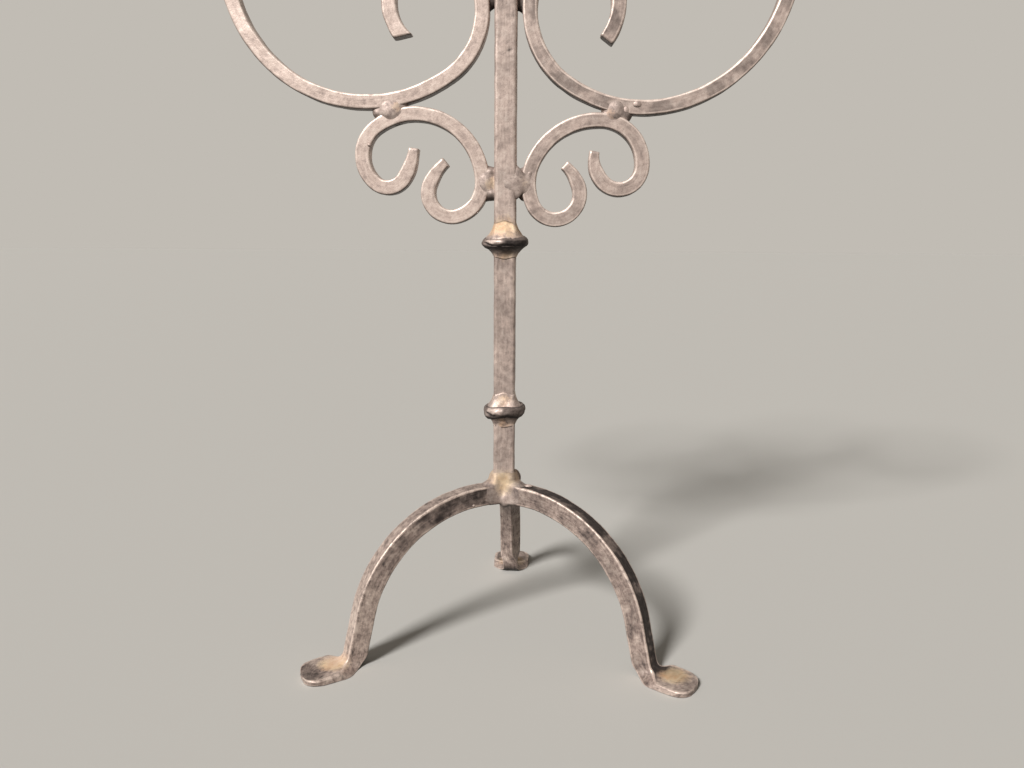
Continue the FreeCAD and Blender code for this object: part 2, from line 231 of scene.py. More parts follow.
def seed_of(name):
    """Fixed offset into the noise for each piece, from the letters of its name."""
    total = sum((index + 1) * ord(letter) for index, letter in enumerate(name))
    return Vector(total % prime for prime in SEED_PRIMES) * SEED_SCALE


def uneven(point, seed, cell, depth, fine_cell, fine_depth):
    """Broad and fine noise, added up."""
    return depth * noise.noise((point + seed) / cell) + fine_depth * noise.noise((point - seed) / fine_cell)


def outline(half_a, half_b, radii):
    """Points round a bar's section: (a, b, normal, edge share), corners first, then the flat to the next."""
    corners = []
    for index, (sign_a, sign_b) in enumerate(CORNER_SIGNS):
        radius = min(radii[index], half_a, half_b)
        centre = ((half_a - radius) * sign_a, (half_b - radius) * sign_b)
        arc = []
        for step in range(CORNER_STEPS + 1):
            normal = direction(math.radians(90.0 * (index + step / CORNER_STEPS)))
            arc.append((centre[0] + radius * normal[0], centre[1] + radius * normal[1], normal, 1.0))
        corners.append(arc)
    points = []
    for arc, following in zip(corners, corners[1:] + corners[:1]):
        points += arc
        for share in FLAT_SHARES:
            points.append((*between(arc[-1][:2], following[0][:2], share), arc[-1][2], 0.0))
    return points


def grime_patch(point, seed):
    """Uneven cover of grime and painted shade, from the least to 1: broad patches broken up by finer ones."""
    return GRIME_LEAST + (1 - GRIME_LEAST) * smooth_step(0.5 + uneven(point, seed, *GRIME_PATCHES))


@dataclasses.dataclass
class Station:
    """One place along a bar: the centre, axes, half sizes and corner radius of its section, and its finish.

    The grime value, which is grime and painted shade above 0 and painted light below 0, is for its outer face
    and for its other faces, and worn is how brightly its corners are rubbed.
    """

    centre: Vector
    axis_a: Vector
    axis_b: Vector
    half_a: float
    half_b: float
    corner: float
    grime_and_shade: tuple
    roughness: float = 1.0
    worn: float = 1.0

    def point(self, a, b):
        return self.centre + self.axis_a * a + self.axis_b * b

    def wear_and_shading(self, edge, normal, point, seed):
        """Worn bright at the corners; elsewhere darkened in patches by grime and painted shade, and lightened
        as painted light where the grime value is below 0.
        """
        bright = edge * self.worn
        grime_and_shade = self.grime_and_shade[0] if normal[0] > FACE_SHARE else self.grime_and_shade[1]
        return bright - (1 - bright) * min(grime_and_shade * grime_patch(point, seed), 1.0)


def with_tips(stations):
    """The stations with a small chamfer added at both cut ends."""
    tips = []
    for end, beside in ((stations[0], stations[1]), (stations[-1], stations[-2])):
        outward = (end.centre - beside.centre).normalized()
        tips.append(dataclasses.replace(
            end, centre=end.centre + outward * TIP_CHAMFER / 2,
            half_a=end.half_a - TIP_CHAMFER, half_b=end.half_b - TIP_CHAMFER))
    return tips[:1] + stations + tips[1:]


def bar_rings(stations, seed):
    """Rings of (place, wear and painted light and shade, (around, along)) for a hammered bar, kept above the
    floor.
    """
    rings = []
    along = 0.0
    previous = stations[0].centre
    for station in stations:
        along += (station.centre - previous).length
        previous = station.centre
        radii = []
        for index in range(len(CORNER_SIGNS)):
            spot = Vector((along / CORNER_WEAR_CELL, index * CORNER_WEAR_STEP, 0.0))
            radii.append(station.corner * (1 + CORNER_WEAR * noise.noise(spot + seed)))
        ring = []
        around = 0.0
        last = None
        for a, b, normal, edge in outline(station.half_a, station.half_b, radii):
            point = station.point(a, b)
            if last:
                around += (point - last).length
            last = point
            outward = station.axis_a * normal[0] + station.axis_b * normal[1]
            place = point + outward * (uneven(point, seed, *HAMMERING) * station.roughness)
            place.z = max(place.z, 0.0)
            ring.append((place, station.wear_and_shading(edge, normal, point, seed), (around, along)))
        rings.append(ring)
    return rings


def moved(rings, move):
    """The rings with each point's place and its value of wear and painted light and shade changed by
    move(place, wear_and_shading).
    """
    return [[(*move(place, wear_and_shading), bar) for place, wear_and_shading, bar in ring] for ring in rings]


def skin(rings, loop=False):
    """Faces over rings of equal length, capped at both ends unless the rings run in a loop."""
    count = len(rings[0])
    faces = []
    rows = len(rings) if loop else len(rings) - 1
    for row in range(rows):
        below = row * count
        above = (row + 1) % len(rings) * count
        for column in range(count):
            beside = (column + 1) % count
            faces.append((below + column, below + beside, above + beside, above + column))
    if not loop:
        faces.append(tuple(range(count)))
        faces.append(tuple(range((len(rings) - 1) * count, len(rings) * count)))
    return faces


def close_up(mesh):
    """Joins doubled points, turns all faces outward and shades them smooth, apart from cut ends."""
    shape = bmesh.new()
    shape.from_mesh(mesh)
    bmesh.ops.remove_doubles(shape, verts=shape.verts, dist=JOIN_DISTANCE)
    bmesh.ops.recalc_face_normals(shape, faces=shape.faces)
    for face in shape.faces:
        face.smooth = len(face.verts) <= 4
    shape.to_mesh(mesh)
    shape.free()


def set_values(mesh, name, values):
    """Gives each point of a mesh a number that the materials read."""
    mesh.attributes.new(name, "FLOAT", "POINT").data.foreach_set("value", values)


def add_object(name, data):
    made = bpy.data.objects.new(name, data)
    bpy.context.scene.collection.objects.link(made)
    return made


def dress(node, mesh, slot):
    """Shows a mesh in place of its CAD node, in the slot's material."""
    piece = add_object("dressed_" + node, mesh)
    mesh.materials.append(materials[slot])
    add_dust(mesh)
    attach(piece, BODY)
    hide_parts(node)


def dress_rings(node, rings, slot, loop=False):
    """Shows a skin over rings in place of a CAD node, with its wear and painted light and shade, and the
    distances round and along it.

    The wear value runs from 1, which holds both rubbed-bright wear and painted light, through 0 to -1, which
    holds both thick grime and painted shade.
    """
    points = [entry for ring in rings for entry in ring]
    mesh = bpy.data.meshes.new(node + "_mesh")
    mesh.from_pydata([entry[0] for entry in points], [], skin(rings, loop))
    set_values(mesh, "wear_and_shading", [entry[1] for entry in points])
    bar = mesh.attributes.new("bar", "FLOAT_VECTOR", "POINT")
    bar.data.foreach_set("vector", [value for entry in points for value in (*entry[2], 0.0)])
    close_up(mesh)
    dress(node, mesh, slot)


# Dust and grime gather about the welds, the knops and the heels

DUST_REACHES = {
    "upper_knop_weld_top": 14.0 * MM, "upper_knop_weld_bottom": 10.0 * MM,
    "lower_knop_weld_top": 9.0 * MM, "lower_knop_weld_bottom": 9.0 * MM, "hub_weld": 13.0 * MM,
    "arm_scroll_weld_left": 6.0 * MM, "arm_scroll_weld_right": 6.0 * MM,
    "scroll_stem_weld_left": 6.5 * MM, "scroll_stem_weld_right": 6.5 * MM,
}
HEEL_DUST_REACH = 12.0 * MM
HEEL_DUST_SHIFTS = {"rear": 4.5 * MM, "left": 4.5 * MM, "right": 8.5 * MM}


def add_dust(mesh):
    """Marks how near each point is to the nearest dusty spot: 1 at its centre, 0 at its reach."""
    spots = [(middle(node), reach) for node, reach in DUST_REACHES.items()]
    for name, degrees in LEG_DEGREES.items():
        beyond_heel = heel + HEEL_INSIDE_RADIUS + HEEL_DUST_SHIFTS[name]
        spots.append((plane_axes(degrees)[0] * beyond_heel, HEEL_DUST_REACH))
    points = np.zeros(len(mesh.vertices) * 3)
    mesh.vertices.foreach_get("co", points)
    points = points.reshape(-1, 3)
    dust = np.zeros(len(points))
    for centre, reach in spots:
        away = np.linalg.norm(points - np.array(centre), axis=1)
        dust = np.maximum(dust, 1 - away / reach)
    set_values(mesh, "dust", dust)


# Bars

def plane_axes(degrees):
    """Outward and sideways directions of the upright plane at a bearing."""
    out = Vector((*direction(math.radians(degrees)), 0.0))
    return out, UP.cross(out)


def planar_stations(bar, size, tail):
    """Stations of a scroll or an arm, in the upright plane on its side of the stem."""
    out, sideways = plane_axes(SIDE_DEGREES[bar.split("_")[1]])
    half = extent(bar).y / 2
    stations = []
    for u, v, heading in bar_chain(bar, size, tail):
        forward = direction(heading)
        normal = out * -forward[1] + UP * forward[0]
        centre = out * u + UP * v
        stations.append(Station(centre, normal, sideways, half, half, CORNER_RADIUS, BAR_GRIME_AND_SHADE[bar]))
    return stations


def make_bar(node, stations, slot, move=None):
    rings = bar_rings(with_tips(stations), seed_of(node))
    dress_rings(node, moved(rings, move) if move else rings, slot)


def stem_stations():
    low, high = box("stem")
    out, sideways = plane_axes(0.0)
    half = stem_bar / 2
    stations = []
    for share in [0.0] + shares(round((high.z - low.z) / RING_SPACING)):
        centre = UP * (low.z + (high.z - low.z) * share)
        rise = smooth_step((centre.z - middle("upper_knop").z) / STEM_GRIME_EASE)
        grime_and_shade = between(BAR_GRIME_AND_SHADE["stem"], STEM_TOP_GRIME, rise)
        stations.append(Station(centre, out, sideways, half, half, STEM_CORNER_RADIUS, grime_and_shade, worn=STEM_WORN))
    return stations


def pitted(place, wear_and_shading):
    """Sinks and blackens what is near the small pit in the stem's front."""
    share = smooth_step(1 - (place - STEM_PIT).length / STEM_PIT_REACH)
    return place + Vector((0.0, STEM_PIT_DEPTH * share, 0.0)), wear_and_shading - (1 + wear_and_shading) * share


def scroll_stations(side):
    """A scroll's stations, drawn down a little towards both tips."""
    stations = planar_stations("scroll_" + side, SCROLL_SIZE, [])
    for end in (stations[0], stations[-1]):
        for station in stations:
            away = (station.centre - end.centre).length / SCROLL_TIP_LENGTH
            station.half_a *= 1 - SCROLL_TIP_TAPER * smooth_step(1 - away)
    return stations


def arm_stations(side):
    """An arm's stations, with its inner tip cut back on the slant."""
    stations = planar_stations("arm_" + side, ARM_SIZE, [(ARM_TAIL, 0.0)])
    slant = math.tan(math.radians(ARM_TIP_SLANT_DEGREES[side]))
    tip = stations[0].centre.copy()
    for station, following in zip(stations, stations[1:]):
        near_tip = smooth_step(1 - (station.centre - tip).length / ARM_TIP_LENGTH)
        step = (following.centre - station.centre).normalized() * slant * near_tip
        station.centre += step * station.half_a
        station.axis_a = station.axis_a - step
    return stations


# Legs

def leg_side(offset, heel_radius, level):
    """One side of a leg in (u, v): its run and bend, its shank's end, its heel's arc and its foot's start."""
    runs = [(LEG_RUN - leg_start, 0.0), (LEG_BEND_RADIUS, -math.radians(LEG_BEND_DEGREES))]
    line = trace((leg_start, leg_rise), 0.0, runs)
    bend = [(u - offset * math.sin(heading), v + offset * math.cos(heading)) for u, v, heading in line]
    u, v = bend[-1]
    heading = line[-1][2]
    forward = direction(heading)
    corner = u + (level - v) * forward[0] / forward[1]
    tangent = heel_radius * math.tan(-heading / 2)
    shank_end = (corner - forward[0] * tangent, level - forward[1] * tangent)
    heel_arc = trace(shank_end, heading, [(heel_radius, -heading)])
    return bend, shank_end, heel_arc, (corner + tangent, level)


def pick(points, share):
    """Point at a share of a traced chain."""
    position = share * (len(points) - 1)
    index = min(int(position), len(points) - 2)
    return between(points[index][:2], points[index + 1][:2], position - index)


def leg_pairs():
    """Pairs of (outer, inner) points along a leg, from the hub to the tip of its foot."""
    outer, outer_end, outer_heel, outer_foot = leg_side(LEG_DEPTH / 2, HEEL_INSIDE_RADIUS, FOOT_THICKNESS)
    inner, inner_end, inner_heel, inner_foot = leg_side(-LEG_DEPTH / 2, HEEL_OUTSIDE_RADIUS, 0.0)
    pairs = list(zip(outer, inner))
    for share in shares(round(math.dist(outer[-1], outer_end) / RING_SPACING)):
        pairs.append((between(outer[-1], outer_end, share), between(inner[-1], inner_end, share)))
    for share in shares(len(inner_heel) - 1):
        pairs.append((pick(outer_heel, share), pick(inner_heel, share)))
    for step in shares(round((foot_tip - inner_foot[0]) / RING_SPACING * FOOT_RING_DENSITY)):
        share = math.sin(math.pi / 2 * step)
        pairs.append((between(outer_foot, (foot_tip, FOOT_THICKNESS), share),
                      between(inner_foot, (foot_tip, 0.0), share)))
    return pairs


def half_width_at(u):
    """Half the width of the foot's blunt tongue at a distance from the stem."""
    width = LEG_WIDTH / 2 + (foot_half_width - LEG_WIDTH / 2) * smooth_step((u - heel) / FOOT_FLARE)
    past_corner = min(max(1 - (foot_tip - u) / FOOT_CORNER_RADIUS, 0.0), 1.0)
    return width - FOOT_CORNER_RADIUS * (1 - math.sqrt(1 - past_corner ** 2))


def leg_stations(name):
    """A leg's stations: the bar may be twisted about its own line, and spreads into its foot."""
    out, sideways = plane_axes(LEG_DEGREES[name])
    twist = math.radians(LEG_TWIST_DEGREES[name])
    toe = math.tan(math.radians(FOOT_TOE_DEGREES[name]))
    stations = []
    for outer, inner in leg_pairs():
        u, v = between(outer, inner, 0.5)
        axis = out * (outer[0] - inner[0]) + UP * (outer[1] - inner[1])
        half_depth = axis.length / 2
        axis.normalize()
        near_foot = smooth_step(1 - v / HEEL_FLARE_HEIGHT)
        half_width = LEG_WIDTH / 2 + (half_width_at(u) - LEG_WIDTH / 2) * near_foot
        turn = Matrix.Rotation(twist * smooth_step((v - TWIST_START) / TWIST_LENGTH), 3, axis.cross(sideways))
        centre = out * u + UP * v + sideways * toe * max(u - heel, 0.0) * near_foot
        # Grime and painted light and shade, blended from the low table to the top one up the leg, then
        # towards the foot's grime
        rise = smooth_step(v / leg_rise * LEG_GRIME_AND_SHADE_SLOPE - LEG_GRIME_AND_SHADE_START)
        grime_and_shade = between(LEG_LOW_GRIME_AND_SHADE[name], LEG_TOP_GRIME_AND_SHADE[name], rise)
        onto_foot = smooth_step((u - heel - FOOT_GRIME_START[name]) / FOOT_FLARE)
        grime_and_shade = between(grime_and_shade, FOOT_GRIME[name], onto_foot)
        roughness = 1 + (FOOT_ROUGHNESS - 1) * near_foot
        stations.append(Station(centre, turn @ axis, turn @ sideways, half_depth, half_width,
                                LEG_CORNER_RADIUS, grime_and_shade, roughness))
    return stations


# Knops and their fillets. Lumps are the cells and shares of broad and fine noise

ROUND_STEPS = 96
LUMPS = (3.2 * MM, 1.0, 1.3 * MM, 0.5)
BURIED_SHARE = 0.8
KNOP_STEPS = 26
KNOP_LUMPS = 0.55 * MM
KNOP_SWAY = 0.4 * MM
KNOP_SWAY_PHASE = 0.8
KNOP_ARCH_BEND = 4
KNOP_SWELL_WAVE = 0.1
KNOP_SWELL_PHASE = 1.1
KNOP_SEAM_WIDTH = 0.1
# For each knop: strength of the painted highlight on its front left, of the darkening elsewhere, and of the
# painted shade on its band to the front right, then its seam and fillet shares
KNOPS = {
    "upper_knop": SimpleNamespace(
        arch=0.25 * MM, swell=1.0, tapers=(0.3, 2.2, 0.46, 2.4), bright=1.0, grime_and_shade=0.74, shade_band=1.0, seam=0.85,
        seam_share=0.62, front_share=1.0),
    "lower_knop": SimpleNamespace(
        arch=1.0 * MM, swell=1.22, tapers=(0.24, 2.6, 0.34, 2.4), bright=0.65, grime_and_shade=0.7, shade_band=0.75, seam=1.0,
        seam_share=0.88, front_share=0.3)}
SPLIT_DEGREES = 228.0
SPLIT_HALF_SPAN_DEGREES = 26.0
SPLIT_SLOPE = 1.5 * MM
SPLIT_DROP = 0.6 * MM
SPLIT_WIDTH = 0.4 * MM
SPLIT_DEPTH = 1.1 * MM
SPLIT_DARK_SHARE = 0.3
BAND_EASE_DEGREES = 24.0
# Bearings and heights of the painted highlight band, of the painted shade band, and of the painted shade
# underneath
HIGHLIGHT_BAND_DEGREES = (214.0, 262.0)
HIGHLIGHT_FROM = -0.35
HIGHLIGHT_EASE = 0.3
SHADE_BAND_DEGREES = (266.0, 352.0)
SHADE_BAND_BELOW = 0.62
SHADE_EASE = 0.25
UNDER_BELOW = -0.35
UNDER_SHADE = 0.9
FILLET_STEPS = 10
FILLET_LUMPS = 0.42 * MM
FILLET_LUMP_START = 0.12
FILLET_TOE = 0.05 * MM
FILLET_CORNER_EASE = 1.28
FILLET_SETBACK = 0.9 * MM
FILLET_SINK_SHARE = 0.22
FILLET_BEND = 1.8
FILLET_WAVE = 0.07
FILLET_SEAM = {"upper_knop_weld_top": 0.8}
# Painted shade on the bottom fillets, darkest next to the ring above them
FILLET_UNDER_SHADE = {"upper_knop_weld_bottom": 0.9, "lower_knop_weld_bottom": 0.7}
FRONT_BEND = 6


def revolve(profile, centre, seed, depth, steps=ROUND_STEPS):
    """Rings round an upright axis; profile(angle) gives closed (radius, height, roughness, wear and painted
    light and shade) points.
    """
    rings = []
    for step in range(steps):
        angle = 2 * math.pi * step / steps
        out = Vector((*direction(angle), 0.0))
        ring = []
        for radius, height, roughness, wear_and_shading in profile(angle):
            point = centre + out * radius + UP * height
            lump = uneven(point, seed, *LUMPS) * depth * roughness
            ring.append((point + out * lump, wear_and_shading, (radius * angle, height)))
        rings.append(ring)
    return rings


def dress_round(node, profile, centre, depth, slot, steps=ROUND_STEPS):
    dress_rings(node, revolve(profile, centre, seed_of(node), depth, steps), slot, loop=True)


def off_bearing(angle, degrees):
    """Degrees from a bearing to an angle, either way round."""
    return (math.degrees(angle) - degrees + 180.0) % 360.0 - 180.0


def split_depth(angle, height):
    """Depth of the slanting seam where the knop's wrapped ends meet."""
    share = off_bearing(angle, SPLIT_DEGREES) / SPLIT_HALF_SPAN_DEGREES
    if abs(share) > 1:
        return 0.0
    off_line = (height + SPLIT_DROP + SPLIT_SLOPE * share) / SPLIT_WIDTH
    return SPLIT_DEPTH * (1 - share * share) * math.exp(-off_line * off_line)


def band_share(degrees, start, end):
    """1 between two bearings, easing to 0 outside them."""
    into = (degrees - start) / BAND_EASE_DEGREES
    out = (end - degrees) / BAND_EASE_DEGREES
    return smooth_step(into + 0.5) * smooth_step(out + 0.5)


def knop_wear_and_shading(node, angle, share):
    """A knop has a painted highlight where it faces front left, painted shade on its band to the front right
    and underneath, is darker elsewhere, and is sooty in its seams.
    """
    if split_depth(angle, share * extent(node).z / 2) > SPLIT_DEPTH * SPLIT_DARK_SHARE:
        return -1.0
    knop = KNOPS[node]
    degrees = math.degrees(angle)
    bright = knop.bright * band_share(degrees, *HIGHLIGHT_BAND_DEGREES)
    bright *= smooth_step((share - HIGHLIGHT_FROM) / HIGHLIGHT_EASE)
    shade_band = knop.shade_band * band_share(degrees, *SHADE_BAND_DEGREES)
    shade_band *= smooth_step((SHADE_BAND_BELOW - share) / SHADE_EASE)
    under_shade = UNDER_SHADE * smooth_step((UNDER_BELOW - share) / SHADE_EASE)
    off_seam = (share - knop.seam_share) / KNOP_SEAM_WIDTH
    seam = knop.seam * math.exp(-off_seam * off_seam)
    grime_and_shade = max(shade_band, under_shade, seam, knop.grime_and_shade * (1 - bright))
    return bright * (1 - grime_and_shade) - grime_and_shade


def knop_profile(node, angle):
    """Closed outline of a lumpy ring that is buried in the stem."""
    knop = KNOPS[node]
    radius = extent(node).x / 2
    half_height = extent(node).z / 2
    inner = stem_bar / 2 * BURIED_SHARE
    sway = KNOP_SWAY * math.sin(angle + KNOP_SWAY_PHASE) + knop.arch * math.sin(angle) ** KNOP_ARCH_BEND
    top_drop, top_bend, under_drop, under_bend = knop.tapers
    swell = knop.swell + KNOP_SWELL_WAVE * math.sin(2 * angle + KNOP_SWELL_PHASE)
    points = [(inner, -half_height * BURIED_SHARE + sway, 0.0, 0.0)]
    for step in range(KNOP_STEPS + 1):
        share = math.sin(math.pi * (step / KNOP_STEPS - 0.5))
        height = half_height * swell * share
        taper = 1 - top_drop * max(share, 0.0) ** top_bend - under_drop * max(-share, 0.0) ** under_bend
        reach = inner + (radius - inner) * taper
        points.append((reach - split_depth(angle, height), height + sway, 1.0, knop_wear_and_shading(node, angle, share)))
    points.append((inner, half_height * BURIED_SHARE + sway, 0.0, 0.0))
    return points


def make_knop(node):
    profile = functools.partial(knop_profile, node)
    dress_round(node, profile, UP * middle(node).z, KNOP_LUMPS, "weld_bead")


def fillet_profile(knop, node, wide, rise, angle):
    """Closed outline of a weld fillet from the stem's square to a wide round foot at height zero.

    The square is eased at its corners, and over the stem's front face the foot is only a share as wide.
    """
    inner = stem_bar / 2 * BURIED_SHARE
    toe_half = stem_bar / 2 + FILLET_TOE
    front = max(-math.sin(angle), 0.0) ** FRONT_BEND
    foot = toe_half + (wide - toe_half) * (1 - (1 - KNOPS[knop].front_share) * front)
    square = min(toe_half / max(map(abs, direction(angle))), toe_half * FILLET_CORNER_EASE)
    rise = rise * (1 + FILLET_WAVE * math.cos(4 * angle))
    points = [(inner, 0.0, 0.0, 0.0)]
    for share in [0.0] + shares(FILLET_STEPS):
        radius = square + (foot - square) * (1 - share) ** FILLET_BEND
        # Bottom fillets darken next to the ring as painted shade
        wear_and_shading = -FILLET_UNDER_SHADE.get(node, 0.0) * (1 - share) ** 2
        if share == 1:
            wear_and_shading = -FILLET_SEAM.get(node, 0.0)
        lumps = math.sin(math.pi * min(share + FILLET_LUMP_START, 1.0))
        points.append((radius, rise * share, lumps, wear_and_shading))
    points.append((inner, rise, 0.0, 0.0))
    return points


def make_fillet(knop, end, foot_height, rise):
    node = knop + "_weld_" + end
    profile = functools.partial(fillet_profile, knop, node, extent(knop).x / 2 - FILLET_SETBACK, rise)
    dress_round(node, profile, UP * foot_height, FILLET_LUMPS, "weld_bead")


def make_knop_set(name):
    """A knop and the fillets of weld above and below it."""
    make_knop(name)
    low, high = box(name)
    sink = extent(name).z * FILLET_SINK_SHARE
    make_fillet(name, "top", high.z - sink, extent(name + "_weld_top").z + sink)
    make_fillet(name, "bottom", low.z + sink, -extent(name + "_weld_bottom").z - sink)


# Beads of weld, as lumps run together

LUMP_SUBDIVISIONS = 4
LUMP_WAVES = 1.7
LUMP_SWELL = 0.07
FINE_LUMP_WAVES = 4.1
FINE_LUMP_SWELL = 0.03
BEAD_VOXEL = 0.4 * MM
BEAD_SMOOTHING = 40
BEAD_ROUGHNESS = 0.8
BEAD_GRIME = 0.6
BEAD_PATCH_SHARE = 0.3
BEAD_EDGE_START = 0.45
BEAD_EDGE_LEAST = 0.4
# The welds between the arms and the stem are darkened partly as soot and partly as painted shade
HIDDEN_BEAD_GRIME_AND_SHADE = {"arm_stem_weld_left": 0.85, "arm_stem_weld_right": 0.85}
STUB_REACH = 11.0 * MM
STUB_INSET = 0.15 * MM
STUB_SINK = 0.6 * MM
STUB_SINK_START = 0.8
HUB_STUB_REACH = 17.0 * MM
HUB_STUB_INSET = -0.4 * MM

# Lumps of the hub's weld in millimetres: the tongue between the front legs and a heap behind the stem, as
# (offset, half sizes), then (reach, height, half sizes) in the corner on top of each leg
HUB_LUMPS = (((0.8, -3.4, -2.6), (3.2, 2.9, 4.4)), ((4.6, 5.4, 5.4), (3.2, 3.2, 4.2)))
HUB_LEG_LUMPS = ((5.2, 4.4, (5.8, 3.9, 2.3)), (5.2, 5.0, (2.4, 3.9, 6.2)))

# Offsets from each weld's middle and half sizes, in millimetres, as (across, deep, high)
WELD_LUMPS = {
    "arm_scroll_weld_left": (((-2.0, 0.0, -1.0), (7.6, 3.95, 6.8)), ((-7.6, 0.0, -2.0), (2.8, 3.4, 2.6))),
    "arm_scroll_weld_right": (((1.2, 0.0, 0.8), (5.9, 4.05, 5.9)), ((6.0, 0.0, 0.2), (2.6, 3.5, 3.9))),
    "scroll_stem_weld_left": (
        ((-1.8, 0.0, 0.0), (5.0, 3.85, 7.8)), ((0.6, 0.0, -4.6), (2.6, 3.7, 3.0)),
        ((0.0, 0.0, 4.6), (2.8, 3.7, 2.8))),
    "scroll_stem_weld_right": (
        ((1.7, 0.0, -0.2), (4.6, 3.75, 7.4)), ((4.0, -0.4, 4.2), (2.4, 3.2, 2.4)),
        ((-4.4, -3.6, 0.4), (6.4, 1.3, 8.6))),
    "arm_stem_weld_left": (((0.0, 0.8, 5.6), (2.9, 2.6, 5.0)), ((0.6, 0.4, 7.6), (2.4, 2.6, 3.0))),
    "arm_stem_weld_right": (((0.0, 0.8, 3.6), (2.9, 2.6, 5.0)), ((-0.6, 0.4, 5.8), (2.4, 2.6, 3.0)))}

# Stray drops: places and half sizes in millimetres
SPATTER = {
    "arm_scroll_weld_left": (((-59.2, -3.1, 225.0), (0.9, 0.6, 0.8)),),
    "arm_scroll_weld_right": (
        ((56.0, -3.0, 241.9), (1.9, 0.75, 1.4)), ((51.4, -3.0, 239.6), (1.2, 0.6, 1.6))),
    "hub_weld": (((-13.4, -11.4, 65.6), (1.0, 1.0, 0.9)), ((11.6, -6.0, 73.6), (1.8, 1.3, 0.7))),
}


def add_lump(shape, centre, half_sizes, turn, seed):
    """A rounded lump with an uneven surface, turned about the upright by an angle."""
    made = bmesh.ops.create_icosphere(shape, subdivisions=LUMP_SUBDIVISIONS, radius=1.0)
    bearing = Matrix.Rotation(turn, 3, "Z")
    for vertex in made["verts"]:
        unit = vertex.co.copy()
        broad = noise.noise(unit * LUMP_WAVES + seed)
        fine = noise.noise(unit * FINE_LUMP_WAVES - seed)
        swell = 1 + LUMP_SWELL * broad + FINE_LUMP_SWELL * fine
        vertex.co = centre + bearing @ (unit * half_sizes) * swell


def placed(lumps, centre):
    """Lumps given as offsets and half sizes in millimetres, set about a centre and not turned."""
    return [(centre + Vector(offset) * MM, Vector(half_sizes) * MM, 0.0) for offset, half_sizes in lumps]


def add_stub(shape, stations, centre, reach, inset):
    """The stretch of a bar near a weld, so that the bead runs out onto it and sinks under its skin."""
    rings = []
    for station in stations:
        away = (station.centre - centre).length
        if away > reach:
            continue
        sunk = inset + (STUB_SINK - inset) * smooth_step(2 * away / reach - STUB_SINK_START)
        section = outline(station.half_a - sunk, station.half_b - sunk, [station.corner] * len(CORNER_SIGNS))
        rings.append([shape.verts.new(station.point(a, b)) for a, b, _, _ in section])
    corners = [vertex for ring in rings for vertex in ring]
    for face in skin(rings):
        shape.faces.new([corners[index] for index in face])


def roughen(mesh, name, centre, reach):
    """Small dents in a smooth bead, and grime in patches and where it runs out onto the bars, with the welds
    between the arms and the stem darkened as grime and painted shade.
    """
    seed = seed_of(name)
    normals = [vertex.normal.copy() for vertex in mesh.vertices]
    grime_and_shade = []
    for vertex, normal in zip(mesh.vertices, normals):
        patch = grime_patch(vertex.co, seed)
        away = smooth_step((vertex.co - centre).length / reach * 2 - BEAD_EDGE_START)
        edge = away * (BEAD_EDGE_LEAST + (1 - BEAD_EDGE_LEAST) * patch)
        spread = BEAD_GRIME * (BEAD_PATCH_SHARE * patch + (1 - BEAD_PATCH_SHARE) * edge)
        grime_and_shade.append(-max(spread, HIDDEN_BEAD_GRIME_AND_SHADE.get(name, 0.0)))
        vertex.co += normal * uneven(vertex.co, seed, *HAMMERING) * BEAD_ROUGHNESS
    set_values(mesh, "wear_and_shading", grime_and_shade)


def add_spatter(mesh, name):
    """Stray drops of weld on the bars near a joint."""
    shape = bmesh.new()
    shape.from_mesh(mesh)
    for drop in placed(SPATTER.get(name, ()), Vector()):
        add_lump(shape, *drop, seed_of(name))
    shape.to_mesh(mesh)
    shape.free()


def lumps_mesh(name, lumps, stubs, centre, reach, inset):
    """Lumps (centre, half sizes, turn) and stubs of bars remeshed into one skin and smoothed."""
    shape = bmesh.new()
    for lump in lumps:
        add_lump(shape, *lump, seed_of(name))
    for stations in stubs:
        add_stub(shape, stations, centre, reach, inset)
    bmesh.ops.recalc_face_normals(shape, faces=shape.faces)
    rough = bpy.data.meshes.new(name + "_rough")
    shape.to_mesh(rough)
    shape.free()
    holder = add_object(name + "_holder", rough)
    remesh = holder.modifiers.new("join", "REMESH")
    remesh.mode = "VOXEL"
    remesh.voxel_size = BEAD_VOXEL
    smooth = holder.modifiers.new("soften", "SMOOTH")
    smooth.iterations = BEAD_SMOOTHING
    bpy.context.view_layer.update()
    evaluated = holder.evaluated_get(bpy.context.evaluated_depsgraph_get())
    mesh = bpy.data.meshes.new_from_object(evaluated)
    mesh.name = name + "_mesh"
    bpy.data.objects.remove(holder)
    roughen(mesh, name, centre, reach)
    add_spatter(mesh, name)
    close_up(mesh)
    return mesh


def make_weld(node, stubs):
    centre = middle(node)
    lumps = placed(WELD_LUMPS[node], centre)
    dress(node, lumps_mesh(node, lumps, stubs, centre, STUB_REACH, STUB_INSET), "weld_bead")


def make_welds():
    """The beads that join each side's scroll and arm to each other and to the stem."""
    stem = stem_stations()
    for side in SIDE_DEGREES:
        scroll = scroll_stations(side)
        arm = arm_stations(side)
        make_weld("arm_scroll_weld_" + side, (arm, scroll))
        make_weld("scroll_stem_weld_" + side, (stem, scroll))
        make_weld("arm_stem_weld_" + side, (stem, arm))


def make_hub():
    """Weld run into the corners between the stem and the legs."""
    level = UP * leg_rise
    lumps = placed(HUB_LUMPS, level)
    for degrees in LEG_DEGREES.values():
        out = plane_axes(degrees)[0]
        for reach, height, half_sizes in HUB_LEG_LUMPS:
            centre = level + (out * reach + UP * height) * MM
            lumps.append((centre, Vector(half_sizes) * MM, math.radians(degrees)))
    stubs = [stem_stations()] + [leg_stations(name) for name in LEG_DEGREES]
    mesh = lumps_mesh("hub_weld", lumps, stubs, level, HUB_STUB_REACH, HUB_STUB_INSET)
    dress("hub_weld", mesh, "weld_bead")


